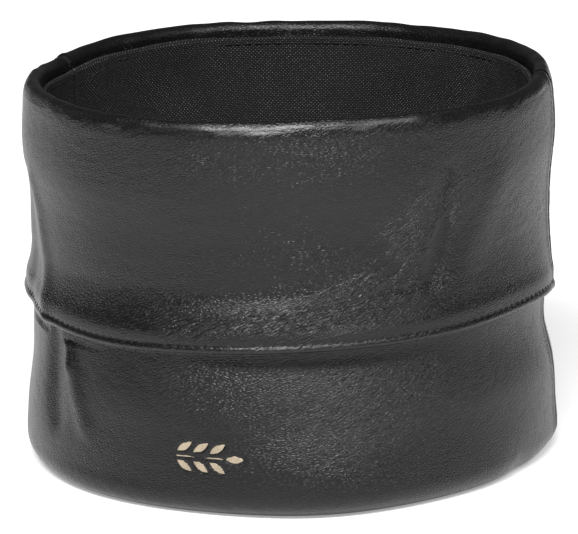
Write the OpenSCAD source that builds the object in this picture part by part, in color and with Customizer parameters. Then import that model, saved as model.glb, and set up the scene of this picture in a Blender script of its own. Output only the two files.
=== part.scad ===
// Soft round basket with a deep turned-down cuff.
// Two leather panels and a leather base make the outer bag. The panels run up the body, fold outwards
// at the rim and run down again inside the cuff. A leather facing covers the cuff and the rim, and a
// canvas lining hangs from it. The basket stands on the plane z = 0, with its axis on Z and its front
// towards -Y. Nothing is rigid but the board in the base.

/* [Basket] */
// Diameter across the outside of the cuff
cuff_d = 200; // [150:1:320]
// Height from the floor to the top of the rim
basket_h = 144; // [120:1:240]
// Height of the cuff, from the top of the rim to its folded hem
cuff_h = 82; // [40:1:100]
// How far the body stands out below the cuff, on the radius
belly = 3.4; // [0:0.1:8]
// Height at which the body reaches its full width
belly_z = 32; // [24:1:36]
// Radius of the rounded edge where the body turns under
foot_r = 9; // [8:0.5:18]
// Flat leather between the rounded edge and the seam of the base
base_seam_in = 4; // [3:0.5:20]

/* [Materials] */
// Thickness of the leather of the panels and the base
leather_t = 1.4; // [0.8:0.1:2]
// Thickness of the leather of the facing
facing_t = 1.2; // [0.8:0.1:1.5]
// Thickness of the canvas
canvas_t = 0.9; // [0.5:0.1:1.6]
// Thickness of the board in the base
board_t = 2.1; // [1.5:0.1:4]
// Space between the body and the leather folded down outside it
fold_gap = 1.6; // [1.3:0.1:6]

/* [Hem of the cuff] */
// Width of the facing's edge that is turned up behind the hem
hem_turn = 8; // [6:0.5:15]
// How far the panel's edge shows below the hem
hem_peek = 1; // [0:0.1:3]
// Height of the topstitching above the hem
hem_stitch_up = 2.5; // [2:0.5:5]
// Pitch of the topstitching
hem_pitch = 3.5; // [2.5:0.1:6]

/* [Lining] */
// Height of facing that shows inside, from the top of the rim to the canvas
facing_show = 5.5; // [5:0.5:40]
// Height of facing that runs on down behind the canvas
facing_under = 9; // [8.5:0.5:20]
// Width of the canvas that is turned in at its top edge
canvas_turn = 8; // [5:0.5:8.5]
// Distance of the lining's stitching below the top edge of the canvas
lining_stitch_down = 2.5; // [1.5:0.5:4]

/* [Seams] */
// Direction of the right side seam, in degrees from +X
seam_right_a = -10; // [-30:1:10]
// Direction of the left side seam, in degrees from +X
seam_left_a = 155; // [140:1:190]
// Width of each panel's edge that is turned in at a side seam
seam_flap = 8; // [5:0.5:15]
// Width of the groove along a side seam
seam_groove_w = 1.2; // [0.8:0.1:2]
// Pitch of the stitches in the seams
seam_pitch = 4; // [3:0.5:8]
// Share of the pitch that each stitch covers
stitch_fill = 0.75; // [0.5:0.05:0.9]
// Thickness of a stitch, and of the groove that is pressed for it
thread_t = 0.4; // [0.2:0.05:0.6]
// Width of a stitch
thread_w = 0.6; // [0.4:0.1:0.9]

/* [Stamped mark] */
// Length of the sprig
mark_w = 26; // [15:1:40]
// Height of its stem above the floor
mark_z = 22; // [20:1:24]
// Turn of the mark about the axis, in degrees from the front
mark_a = -17.4; // [-60:0.1:60]
// Depth that the mark is pressed into the leather
mark_depth = 0.5; // [0.2:0.1:0.6]
// Thickness of the foil
foil_t = 0.2; // [0.1:0.05:0.3]
// Length of a leaf
leaf_l = 7; // [4:0.5:9]
// Width of a leaf
leaf_w = 2.6; // [1.5:0.1:3.5]

/* [Hidden] */

$fn = 96;
// Steps in each rounded stretch of an outline
arc_steps = 8;
// Steps in the flare of the body
flare_steps = 10;
// Space between a stitch and the slanting or curved leather that it lies on
thread_lay = 0.1;
// Space between the board and the stitches beside it
board_clear = 0.6;
// Height over which the panel steps inwards to pass behind the turned hem
hem_step = 3;
// Distance between the panel's lower edge and the start of the flare
flare_clear = 1;
// Distance between a side seam's stitches or flaps and what crosses their ends
seam_end = 1.5;
// Turn from a side seam to the start of the flap beside it, in degrees
flap_start_a = 0.3;
// How deep a flap is cemented into its panel, and how far a cutter stands out of the leather
bond = 0.2;
// Spans of the two halves, from seam to seam
front_span = 360 - (seam_left_a - seam_right_a);
rear_span = seam_left_a - seam_right_a;

// Radii of the layers, from the outside of the cuff to the canvas
cuff_r = cuff_d / 2;
leg_r = cuff_r - facing_t;
leg_low_r = leg_r - facing_t;
fold_out = fold_gap / 2 + leather_t;
roll_r = fold_out + facing_t;
bend_r = leg_r - fold_out;
wall_r = bend_r - fold_gap / 2;
wall_in_r = wall_r - leather_t;
lining_r = wall_in_r - facing_t - canvas_t;
lining_in = wall_r - lining_r + canvas_t;

// Heights
bend_z = basket_h - roll_r;
hem_z = basket_h - cuff_h;
peek_z = hem_z - hem_peek;
turn_top_z = hem_z + hem_turn;
hem_stitch_z = hem_z + hem_stitch_up;
flare_top_z = peek_z - flare_clear;
canvas_top_z = basket_h - facing_show;
facing_end_z = canvas_top_z - facing_under;
canvas_turn_z = canvas_top_z - canvas_turn;
lip_top_z = leather_t + board_t;
floor_z = lip_top_z + canvas_t;

// Base
foot_c = wall_r + belly - foot_r;
base_seam_r = foot_c - base_seam_in;
base_lip_r = base_seam_r - leather_t;
panel_lip_r = base_seam_r + leather_t;
board_r = base_lip_r - thread_t - board_clear;

// Seam that runs over the rim: up the cuff, round the roll and down to the canvas
rim_seam_z = turn_top_z + seam_end;
rim_seam_up = bend_z - rim_seam_z;
rim_seam_round = PI * roll_r;
rim_seam_down = bend_z - canvas_top_z - seam_end;
rim_seam_len = rim_seam_up + rim_seam_round + rim_seam_down;

// Sprig
stem_t = 0.8;
leaf_gap = 0.5;
leaf_tilt = 32;
leaf_pairs = 3;
leaf_step = (mark_w - leaf_l) / leaf_pairs;

function reversed(points) = [for (i = [len(points) - 1 : -1 : 0]) points[i]];

// Points of an arc about [c_r, c_z], with its two radii, from one angle to another
function arc(c_r, c_z, r_across, r_up, from, to) =
    [for (i = [0 : arc_steps])
        let (a = from + (to - from) * i / arc_steps)
        [c_r + r_across * cos(a), c_z + r_up * sin(a)]];

// Outside radius of the body at a height above the rounded edge
function body_r(z) =
    z > flare_top_z ? wall_r
    : z < belly_z ? wall_r + belly
    : wall_r + belly * (1 - cos(180 * (flare_top_z - z) / (flare_top_z - belly_z))) / 2;

// The flaring stretch of the body, from its top to its full width, at a depth below the surface
function flare(depth) =
    [for (i = [0 : flare_steps])
        let (z = flare_top_z - (flare_top_z - belly_z) * i / flare_steps)
        [body_r(z) - depth, z]];

// The flare and the rounded edge below it, at one depth in the wall and another under the foot
function body_face(depth, under) =
    concat(flare(depth), arc(foot_c, foot_r, foot_r - depth, foot_r - under, 0, -90));

// A strip of the wall between two depths and two heights
function wall_strip(d_out, d_in, z_low, z_high) =
    concat([[wall_r - d_out, z_high]], flare(d_out),
           [[body_r(z_low) - d_out, z_low], [body_r(z_low) - d_in, z_low]],
           reversed(flare(d_in)), [[wall_r - d_in, z_high]]);

// A point of the rim seam, at a distance along it and a depth below the facing's surface
function rim_seam_at(s, depth) =
    s < rim_seam_up ? [cuff_r - depth, rim_seam_z + s]
    : s < rim_seam_up + rim_seam_round
        ? let (a = 180 * (s - rim_seam_up) / rim_seam_round)
          [bend_r + (roll_r - depth) * cos(a), bend_z + (roll_r - depth) * sin(a)]
    : [bend_r - roll_r + depth, bend_z - (s - rim_seam_up - rim_seam_round)];

// A strip of the facing between two depths and two distances along the rim seam
function rim_strip(d_out, d_in, s_0, s_1, steps) =
    concat([for (i = [0 : steps]) rim_seam_at(s_0 + (s_1 - s_0) * i / steps, d_out)],
           [for (i = [steps : -1 : 0]) rim_seam_at(s_0 + (s_1 - s_0) * i / steps, d_in)]);

// Sweep an outline of radius and height from the left seam to the right one, past the front
module front_half() {
    rotate([0, 0, seam_left_a]) rotate_extrude(angle = front_span) children();
}

// Sweep an outline of radius and height from the right seam to the left one, past the back
module rear_half() {
    rotate([0, 0, seam_right_a]) rotate_extrude(angle = rear_span) children();
}

// Stand a flat outline of radius and height up at an angle, with a width across it
module upright(angle, width) {
    rotate([0, 0, angle]) rotate([90, 0, 0]) linear_extrude(height = width, center = true) children();
}

// A ring of stitches, each one a short piece of thread along the ring
module ring_of_stitches(r_in, z_low, height, pitch) {
    count = round(2 * PI * r_in / pitch);
    step = 360 / count;
    for (i = [0 : count - 1])
        rotate([0, 0, i * step])
            rotate_extrude(angle = step * stitch_fill)
                translate([r_in, z_low])
                    square([thread_t, height]);
}

// The outline of a panel: up inside the cuff, over the fold, down the body and in to the base seam
module panel_outline() {
    polygon(concat(
        [[leg_low_r, peek_z], [leg_low_r, turn_top_z], [leg_r, turn_top_z + hem_step]],
        arc(bend_r, bend_z, fold_out, fold_out, 0, 180),
        body_face(leather_t, leather_t),
        [[panel_lip_r, leather_t], [panel_lip_r, lip_top_z], [base_seam_r, lip_top_z]],
        arc(panel_lip_r, leather_t, leather_t, leather_t, 180, 270),
        reversed(body_face(0, 0)),
        arc(bend_r, bend_z, fold_gap / 2, fold_gap / 2, 180, 0),
        [[leg_r - leather_t, turn_top_z + hem_step],
         [leg_low_r - leather_t, turn_top_z], [leg_low_r - leather_t, peek_z]]));
}

// The edge of a panel that is turned in at a side seam and cemented flat inside the wall, from an angle
module flap(from_a) {
    flap_a = seam_flap / wall_in_r * 180 / PI;
    rotate([0, 0, from_a])
        rotate_extrude(angle = flap_a)
            polygon(wall_strip(leather_t - bond, 2 * leather_t, foot_r + seam_end,
                               facing_end_z - seam_end));
}

// The two flaps of a panel that runs from one seam to another
module flaps(from_a, to_a) {
    flap_a = seam_flap / wall_in_r * 180 / PI;
    flap(from_a + flap_start_a);
    flap(to_a - flap_start_a - flap_a);
}

// The groove along the two side seams of the body
module body_seam_grooves() {
    for (a = [seam_left_a, seam_right_a])
        upright(a, seam_groove_w)
            polygon(wall_strip(-bond, thread_t + thread_lay, foot_r + seam_end / 2, facing_end_z));
}

// The outline of the facing: up the hem and the cuff, round the rim and down behind the canvas
module facing_outline() {
    groove_half = thread_w / 2;
    polygon(concat(
        arc(leg_r, hem_z + facing_t, facing_t, facing_t, 180, 360),
        [[cuff_r, hem_stitch_z - groove_half], [cuff_r - thread_t, hem_stitch_z - groove_half],
         [cuff_r - thread_t, hem_stitch_z + groove_half], [cuff_r, hem_stitch_z + groove_half]],
        arc(bend_r, bend_z, roll_r, roll_r, 0, 180),
        [[bend_r - roll_r, facing_end_z], [wall_in_r, facing_end_z]],
        arc(bend_r, bend_z, fold_out, fold_out, 180, 0),
        [[leg_r, turn_top_z], [leg_low_r, turn_top_z]]));
}

// The groove along the two side seams of the facing
module facing_seam_grooves() {
    for (a = [seam_left_a, seam_right_a])
        upright(a, seam_groove_w)
            polygon(rim_strip(-bond, thread_t, 0, rim_seam_len, 4 * flare_steps));
}

// The outline of the lining: its turned top edge, the wall and the rounded edge at the floor
module lining_outline() {
    outside = wall_r - lining_r;
    polygon(concat(
        [[lining_r + canvas_t, canvas_turn_z]],
        arc(lining_r, canvas_top_z - canvas_t, canvas_t, canvas_t, 0, 180),
        body_face(lining_in, floor_z),
        reversed(body_face(outside, lip_top_z)),
        [[lining_r, canvas_turn_z]]));
}

// Stitches along a side seam of the wall, at a depth below the outside of the body
module wall_seam_stitches(angle, depth, z_low, z_high) {
    count = floor((z_high - z_low) / seam_pitch);
    for (i = [0 : count - 1])
        let (z_0 = z_low + i * seam_pitch, z_1 = z_0 + seam_pitch * stitch_fill)
        upright(angle, thread_w)
            polygon([[body_r(z_0) - depth, z_0], [body_r(z_1) - depth, z_1],
                     [body_r(z_1) - depth + thread_t, z_1], [body_r(z_0) - depth + thread_t, z_0]]);
}

// Stitches along a side seam of the facing
module rim_seam_stitches(angle) {
    count = floor(rim_seam_len / seam_pitch);
    lay = thread_t / 4;
    for (i = [0 : count - 1])
        upright(angle, thread_w)
            polygon(rim_strip(0, thread_t - lay, i * seam_pitch,
                              (i + stitch_fill) * seam_pitch, arc_steps));
}

// A leaf: the space between two equal arcs that cross at its tips
module leaf() {
    side_r = (leaf_l * leaf_l + leaf_w * leaf_w) / (4 * leaf_w);
    intersection() {
        translate([0, side_r - leaf_w / 2]) circle(r = side_r);
        translate([0, leaf_w / 2 - side_r]) circle(r = side_r);
    }
}

// A sprig that lies along +X: a stem, pairs of leaves along it and a leaf at its tip
module sprig() {
    translate([-mark_w / 2, -stem_t / 2])
        square([mark_w - leaf_l - leaf_gap, stem_t]);
    translate([(mark_w - leaf_l) / 2, 0])
        leaf();
    for (i = [0 : leaf_pairs - 1], side = [-1, 1])
        translate([i * leaf_step - mark_w / 2 + leaf_gap, side * (stem_t / 2 + leaf_gap + leaf_w / 4)])
            rotate([0, 0, side * leaf_tilt])
                translate([leaf_l / 2, 0])
                    leaf();
}

// The part of the body's wall that lies behind the sprig, between two depths
module stamped(d_out, d_in) {
    r_out = wall_r + belly - d_out;
    intersection() {
        rotate([0, 0, mark_a])
            translate([0, 0, mark_z])
                rotate([90, 0, 0])
                    linear_extrude(height = cuff_r)
                        sprig();
        rotate_extrude()
            translate([r_out + d_out - d_in, foot_r])
                square([d_in - d_out, belly_z - foot_r]);
    }
}

module outer_panel_front() {
    color("#3c3c3e")
    difference() {
        union() {
            front_half() panel_outline();
            flaps(seam_left_a, seam_left_a + front_span);
        }
        body_seam_grooves();
        stamped(-bond, mark_depth);
    }
}

module outer_panel_rear() {
    color("#3c3c3e")
    difference() {
        union() {
            rear_half() panel_outline();
            flaps(seam_right_a, seam_left_a);
        }
        body_seam_grooves();
    }
}

module base_leather() {
    color("#38383a")
    rotate_extrude()
        polygon(concat(
            [[0, 0]],
            arc(base_lip_r, leather_t, leather_t, leather_t, -90, 0),
            [[base_seam_r, lip_top_z], [base_lip_r, lip_top_z],
             [base_lip_r, leather_t], [0, leather_t]]));
}

module base_board() {
    color("#8a7a60")
    translate([0, 0, leather_t])
        cylinder(h = board_t, r = board_r);
}

module facing_front() {
    color("#444446")
    difference() {
        front_half() facing_outline();
        facing_seam_grooves();
    }
}

module facing_rear() {
    color("#444446")
    difference() {
        rear_half() facing_outline();
        facing_seam_grooves();
    }
}

module lining_front() {
    color("#262628")
    front_half() lining_outline();
}

module lining_rear() {
    color("#262628")
    rear_half() lining_outline();
}

module lining_base() {
    color("#2a2a2c")
    translate([0, 0, lip_top_z])
        cylinder(h = canvas_t, r = foot_c);
}

module hem_topstitch() {
    color("#1c1c1e")
    ring_of_stitches(cuff_r - thread_t, hem_stitch_z - thread_w / 2, thread_w, hem_pitch);
}

module rim_stitching() {
    color("#1c1c1e")
    ring_of_stitches(lining_r - canvas_t - thread_t,
                     canvas_top_z - lining_stitch_down - thread_w / 2, thread_w, seam_pitch);
}

module base_seam_thread() {
    color("#1c1c1e")
    ring_of_stitches(base_lip_r - thread_t, leather_t + (board_t - thread_w) / 2, thread_w, seam_pitch);
}

// These stitches lie on the canvas base, beside its joint with the canvas wall
module lining_base_thread() {
    color("#1c1c1e")
    ring_of_stitches(foot_c - 2 * thread_t, floor_z, thread_w, seam_pitch);
}

module body_seam_thread_left() {
    color("#1c1c1e")
    wall_seam_stitches(seam_left_a, thread_t, foot_r + seam_end, facing_end_z - seam_end);
}

module body_seam_thread_right() {
    color("#1c1c1e")
    wall_seam_stitches(seam_right_a, thread_t, foot_r + seam_end, facing_end_z - seam_end);
}

module facing_seam_thread_left() {
    color("#1c1c1e")
    rim_seam_stitches(seam_left_a);
}

module facing_seam_thread_right() {
    color("#1c1c1e")
    rim_seam_stitches(seam_right_a);
}

module lining_seam_thread_left() {
    color("#1c1c1e")
    wall_seam_stitches(seam_left_a, lining_in + thread_lay + thread_t,
                       foot_r + seam_end, canvas_turn_z);
}

module lining_seam_thread_right() {
    color("#1c1c1e")
    wall_seam_stitches(seam_right_a, lining_in + thread_lay + thread_t,
                       foot_r + seam_end, canvas_turn_z);
}

module foil_mark() {
    color("#c9b079")
    stamped(mark_depth - foil_t, mark_depth);
}

outer_panel_front();
outer_panel_rear();
base_leather();
base_board();
facing_front();
facing_rear();
lining_front();
lining_rear();
lining_base();
hem_topstitch();
rim_stitching();
base_seam_thread();
lining_base_thread();
body_seam_thread_left();
body_seam_thread_right();
facing_seam_thread_left();
facing_seam_thread_right();
lining_seam_thread_left();
lining_seam_thread_right();
foil_mark();
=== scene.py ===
import math

import bpy
import numpy as np
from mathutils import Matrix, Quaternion, Vector


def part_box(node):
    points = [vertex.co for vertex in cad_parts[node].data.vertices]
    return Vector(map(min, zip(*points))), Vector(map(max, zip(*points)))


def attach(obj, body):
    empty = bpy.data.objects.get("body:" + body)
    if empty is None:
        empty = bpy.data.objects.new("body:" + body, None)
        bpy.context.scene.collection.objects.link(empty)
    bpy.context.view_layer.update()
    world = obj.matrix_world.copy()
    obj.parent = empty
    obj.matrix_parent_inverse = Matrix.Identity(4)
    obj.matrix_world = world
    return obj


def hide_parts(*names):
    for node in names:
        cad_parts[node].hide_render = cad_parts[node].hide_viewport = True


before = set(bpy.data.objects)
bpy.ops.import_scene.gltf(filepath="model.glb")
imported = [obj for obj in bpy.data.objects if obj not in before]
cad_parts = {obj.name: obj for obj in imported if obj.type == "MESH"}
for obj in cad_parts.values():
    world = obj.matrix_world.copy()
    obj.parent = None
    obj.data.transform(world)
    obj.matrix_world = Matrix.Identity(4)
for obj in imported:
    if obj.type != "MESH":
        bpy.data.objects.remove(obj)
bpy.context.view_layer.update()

# Lengths below are in millimetres and directions in degrees, turned from the front (-Y) towards +X.
# Meshes are written in metres.
MM = 0.001


# -------------------- sizes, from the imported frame

def ring_r(node):
    """Radius of a round node, taken towards the front."""
    return -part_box(node)[0].y / MM


def direction(node):
    """Direction of a node's middle."""
    low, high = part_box(node)
    middle = (low + high) / 2
    return math.degrees(math.atan2(middle.x, -middle.y))


def mid_z(node):
    """Height of a node's middle."""
    low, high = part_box(node)
    return (low.z + high.z) / 2 / MM


# Sizes that the boxes of the nodes don't show.
LEATHER = 1.4
FACING = 1.2
CANVAS = 0.9
GAP = 1.6
HEM_TURN = 8
PANEL_PEEK = 2.0
CANVAS_TURN = 8
FACING_UNDER = 9
FOOT = 9.0
BELLY_Z = 32
SHOULDER = 8.0

# Sizes that follow from the nodes. WALL is the wall's outer face, LEG the cuff's layer behind its skin.
CUFF_R = ring_r("facing_front")
BODY_R = ring_r("outer_panel_front")
SEAM_BASE_R = ring_r("base_leather")
FLOOR_R = ring_r("lining_base")
RIM_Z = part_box("facing_front")[1].z / MM
HEM_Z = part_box("facing_front")[0].z / MM
CANVAS_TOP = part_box("lining_front")[1].z / MM
FLOOR_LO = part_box("lining_base")[0].z / MM
FLOOR_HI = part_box("lining_base")[1].z / MM
STITCH_Z = mid_z("hem_topstitch")
RIM_STITCH_Z = mid_z("rim_stitching")
SEAM_R = direction("body_seam_thread_right")
SEAM_L = direction("body_seam_thread_left")
ROLL_R = GAP / 2 + LEATHER + FACING
BEND_R = CUFF_R - ROLL_R
BEND_Z = RIM_Z - ROLL_R
LEG_R = CUFF_R - FACING
LEG_LOW_R = LEG_R - FACING
WALL_R = BEND_R - GAP / 2
WALL_IN_R = WALL_R - LEATHER
FACE_R = BEND_R - ROLL_R - 2 * CANVAS
TURN_Z = HEM_Z + HEM_TURN
PEEK_Z = HEM_Z - PANEL_PEEK
FLARE_TOP = HEM_Z - 2
FACING_END = CANVAS_TOP - FACING_UNDER
SPANS = {"front": (SEAM_L, SEAM_R), "rear": (SEAM_R, SEAM_L + 360)}


# -------------------- smooth fields over (direction, height)

def wrap(angle):
    return (angle + 180) % 360 - 180


def cos_sin(angle):
    return math.cos(math.radians(angle)), math.sin(math.radians(angle))


def smooth(x, low, high):
    t = np.clip((x - low) / (high - low), 0, 1)
    return t * t * (3 - 2 * t)


def bell(x, wide):
    """1 at x = 0, and close to 0 beyond twice the width."""
    return np.exp(-(x / wide) ** 2)


def around(phi, at, wide):
    """A bell over the directions about one of them."""
    return bell(wrap(phi - at), wide)


def swell(phi, z, at, height, wide, tall):
    """A round swelling, 1 at its middle."""
    return around(phi, at, wide) * bell(z - height, tall)


def fold(phi, z, start, end, width):
    """A straight fold between two (direction, height) points, 1 along its line."""
    s = np.radians(wrap(phi - start[0])) * CUFF_R
    along = math.radians(end[0] - start[0]) * CUFF_R
    rise = end[1] - start[1]
    t = np.clip((s * along + (z - start[1]) * rise) / (along ** 2 + rise ** 2), 0, 1)
    away = np.hypot(s - t * along, z - start[1] - t * rise)
    return bell(away, width)


def swells(phi, z, table):
    return sum(swell(phi, z, at, height, wide, tall) * out for at, height, wide, tall, out in table)


def folds(phi, z, table):
    return sum(fold(phi, z, start, end, width) * out for start, end, width, out in table)


def waves(phi, z, seed, along, across, angle=0.0, count=28):
    """Random smooth unevenness of unit size: its lengths along and across a direction, in mm."""
    draw = np.random.default_rng(seed)
    k_along = draw.normal(0, 1 / along, count)
    k_across = draw.normal(0, 1 / across, count)
    start = draw.uniform(0, 2 * math.pi, count)
    c, s = cos_sin(angle)
    x = np.radians(phi) * CUFF_R
    a, b = x * c + z * s, z * c - x * s
    total = sum(np.cos(2 * math.pi * (ka * a + kb * b) / 2.5 + p)
                for ka, kb, p in zip(k_along, k_across, start))
    return total / math.sqrt(count / 2)


def seam_gap(phi):
    """Distance along the surface to the nearest side seam."""
    nearest = np.minimum(abs(wrap(phi - SEAM_R)), abs(wrap(phi - SEAM_L)))
    return np.radians(nearest) * CUFF_R


# Swellings: direction and height, widths across and up, and how far the leather stands out there.
CUFF_SWELLS = [
    (88, 122, 20, 14, 1.2),             # the top of the right seam
    (64, 92, 13, 22, -0.8),             # hollow between it and the front
    (-86, 64, 14, 10, -1.2),            # the hem drawn in at both sides
    (86, 64, 10, 8, -1.2)]
BODY_SWELLS = [
    (5, 8, 25, 20, 6.3),                # the bulge over the front of the base
    (-71, 28, 8, 14, 0.8),              # slack beside the left fold
    (-48, 0, 26, 7, 2.6),               # the foot pressed out at the left and at both sides
    (-84, 9, 22, 9, 1.0),
    (88, 8, 16, 10, 1.2),
    (58, 3, 5, 6, -1.0),                # a dent in the foot
    (-88, 37, 26, 12, -2.3),            # the sides and the back drawn in
    (88, 47, 22, 13, -2.0),
    (180, 44, 50, 14, -1.2),
    (-130, 40, 16, 14, -1.0)]

# Folds: both ends as (direction, height), width, and how far the leather stands out along them.
CUFF_FOLDS = [
    ((-74, 108), (-63, 58), 5, 0.9),    # the pull beside the left seam
    ((-82, 104), (-76, 62), 7, -0.8),
    ((37, 120), (31, 82), 4.5, -1.3),   # a valley right of the front, and the ridge beside it
    ((50, 114), (37, 80), 8.5, 0.8),
    ((152, 114), (166, 72), 8, 0.9),    # slack at the rear
    ((206, 112), (194, 76), 7, -0.8),
    ((120, 104), (140, 78), 7, -0.7)]
BODY_FOLDS = [
    ((-14, 63), (28, 61), 10, -2.0),    # the hollow under the hem
    ((-58, 60), (-55, 46), 3.2, 1.2),   # the ridge down from the hem at the left, and its valley
    ((-55, 46), (-49, 26), 4.5, 1.0),
    ((-64, 60), (-60, 26), 5.5, -1.5)]


def rim_lift(phi):
    """How the top of the rim rises and dips."""
    dip = around(phi, 57, 14) * 1.4 + around(phi, -112, 17) * 2.2 + around(phi, -30, 26) * 1.3
    return -0.7 - dip + 0.4 * np.cos(np.radians(3 * phi + 40))


def hem_lift(phi):
    """How the hem rises and hangs."""
    rise = around(phi, 60, 26) * 2.2 + around(phi, 15, 22) * 0.5 + around(phi, -84, 10) * 0.4
    drop = around(phi, -45, 24) * 2.6 + around(phi, 88, 12) * 1.2
    return rise - drop


def cuff_field(phi, z):
    """How far the cuff and all that it carries stands out from the round CAD shape."""
    left = np.cos(np.radians(phi + 86))
    waist = -(2.6 + 1.2 * left) * (1 - smooth(z, 96, 134)) * smooth(z, HEM_Z, 86 - 4 * left)
    rim = -(1.3 + 0.8 * left) * smooth(z, 112, 136)
    hem = 0.6 * smooth(76 - z, 0, 12) - 0.8
    front = around(phi, -3, 34) * 2.6 * smooth(82 - z, 0, 15)
    uneven = waves(phi, z, 3, 60, 45) * (0.35 + 0.3 * around(phi, 180, 60))
    return waist + rim + hem + front + uneven + swells(phi, z, CUFF_SWELLS) + folds(phi, z, CUFF_FOLDS)


def body_field(phi, z):
    """How far the body below the cuff stands out from the round CAD shape."""
    upright = around(phi, 8, 32) * 0.45 * (body_r(z) - WALL_R)
    uneven = waves(phi, z, 8, 55, 35) * (0.35 + 0.35 * around(phi, 180, 60))
    return swells(phi, z, BODY_SWELLS) + folds(phi, z, BODY_FOLDS) - upright + uneven


def wall_field(phi, z):
    """The same for the wall inside, which follows the body below the hem and the cuff above it."""
    cuff = cuff_field(phi, z)
    body = body_field(phi, z)
    low, high = HEM_Z - 8, HEM_Z + 14
    share = smooth(z, low, high)
    return np.where(z < low, body, np.minimum(body * (1 - share) + cuff * share, cuff + 0.3))


def place(phi, r, z, cuff):
    """Where a point of the round CAD shape ends up. cuff is 1 on the cuff's layers, 0 on the wall's.

    The base inside the foot stays flat and round.
    """
    past_base = smooth(r, 84, 92)
    out = np.where(cuff > 0.5, cuff_field(phi, z), wall_field(phi, z) * past_base)
    up = rim_lift(phi) * smooth(z, 88, BEND_Z)
    hem = np.where(cuff > 0.5, hem_lift(phi) * (1 - smooth(z, HEM_Z, 104)), 0)
    return r + out, z + up + hem


# -------------------- outlines

# An outline is a list of (r, z, stride, face, cuff): the radius and height of a point, how many columns
# lie between two of its vertices, whether it is on a visible face, and whether it is on the cuff.
HEM_FOLD_R = 1.3
EDGE_R = LEATHER / 2


def run(a, b, step, stride, face, cuff):
    """Points from a up to, but not at, b."""
    count = max(1, round(math.dist(a, b) / step))
    return [(a[0] + (b[0] - a[0]) * i / count, a[1] + (b[1] - a[1]) * i / count, stride, face, cuff)
            for i in range(count)]


def bend(centre, radius, start, end, step, stride, face, cuff):
    """Points of an arc up to, but not at, its end."""
    count = max(3, round(math.radians(abs(end - start)) * radius / step))
    angles = [math.radians(start + (end - start) * i / count) for i in range(count)]
    return [(centre[0] + radius * math.cos(a), centre[1] + radius * math.sin(a), stride, face, cuff)
            for a in angles]


def body_r(z, depth=0.0):
    """Radius of the body between the foot and the top of its flare."""
    t = np.clip((FLARE_TOP - z) / (FLARE_TOP - BELLY_Z), 0, 1)
    return WALL_R + (BODY_R - WALL_R) * (1 - np.cos(math.pi * t)) / 2 - depth


def flare(z_from, z_to, step, depth, stride, face):
    """Points of the body's wall between two heights, at a depth inside its outer face."""
    count = max(1, round(abs(z_to - z_from) / step))
    heights = [z_from + (z_to - z_from) * i / count for i in range(count)]
    return [(body_r(z, depth), z, stride, face, 0) for z in heights]


def shoulder(stride):
    """The outer half of the rim, rounder than the fold inside it."""
    angles = np.linspace(0, math.pi / 2, 16)[:-1]
    return [(BEND_R + ROLL_R * math.cos(a), RIM_Z - SHOULDER * (1 - math.sin(a)), stride, 1, 1)
            for a in angles]


def facing_rows():
    """Up the cuff, over the rim, down behind the canvas, and back inside to the turned hem."""
    fine, mid, hid = 1, 2, 6
    fold_z = HEM_Z + HEM_FOLD_R
    inner_r = BEND_R - ROLL_R
    return (bend((LEG_R - 0.1, fold_z), HEM_FOLD_R, 270, 360, 0.45, fine, 1, 1)
            + run((CUFF_R, fold_z), (CUFF_R, TURN_Z + 1), 0.5, fine, 1, 1)
            + run((CUFF_R, TURN_Z + 1), (CUFF_R, 84), 0.9, mid, 1, 1)
            + run((CUFF_R, 84), (CUFF_R, RIM_Z - SHOULDER), 1.1, mid, 1, 1)
            + shoulder(mid)
            + bend((BEND_R, BEND_Z), ROLL_R, 90, 180, 0.5, mid, 1, 0)
            + run((inner_r, BEND_Z), (inner_r, CANVAS_TOP - 3), 0.8, mid, 1, 0)
            + run((inner_r, CANVAS_TOP - 3), (inner_r, FACING_END), 3, hid, 0, 0)
            + run((inner_r, FACING_END), (WALL_IN_R, BEND_Z), 5, hid, 0, 0)
            + bend((BEND_R, BEND_Z), ROLL_R - FACING, 180, 0, 1.4, hid, 0, 0)
            + run((LEG_R, BEND_Z), (LEG_R, TURN_Z), 5, hid, 0, 1)
            + run((LEG_LOW_R, TURN_Z), (LEG_LOW_R, fold_z), 2.5, hid, 0, 1)
            + bend((LEG_LOW_R + HEM_FOLD_R, fold_z), HEM_FOLD_R, 180, 270, 0.9, mid, 0, 1))


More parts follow.
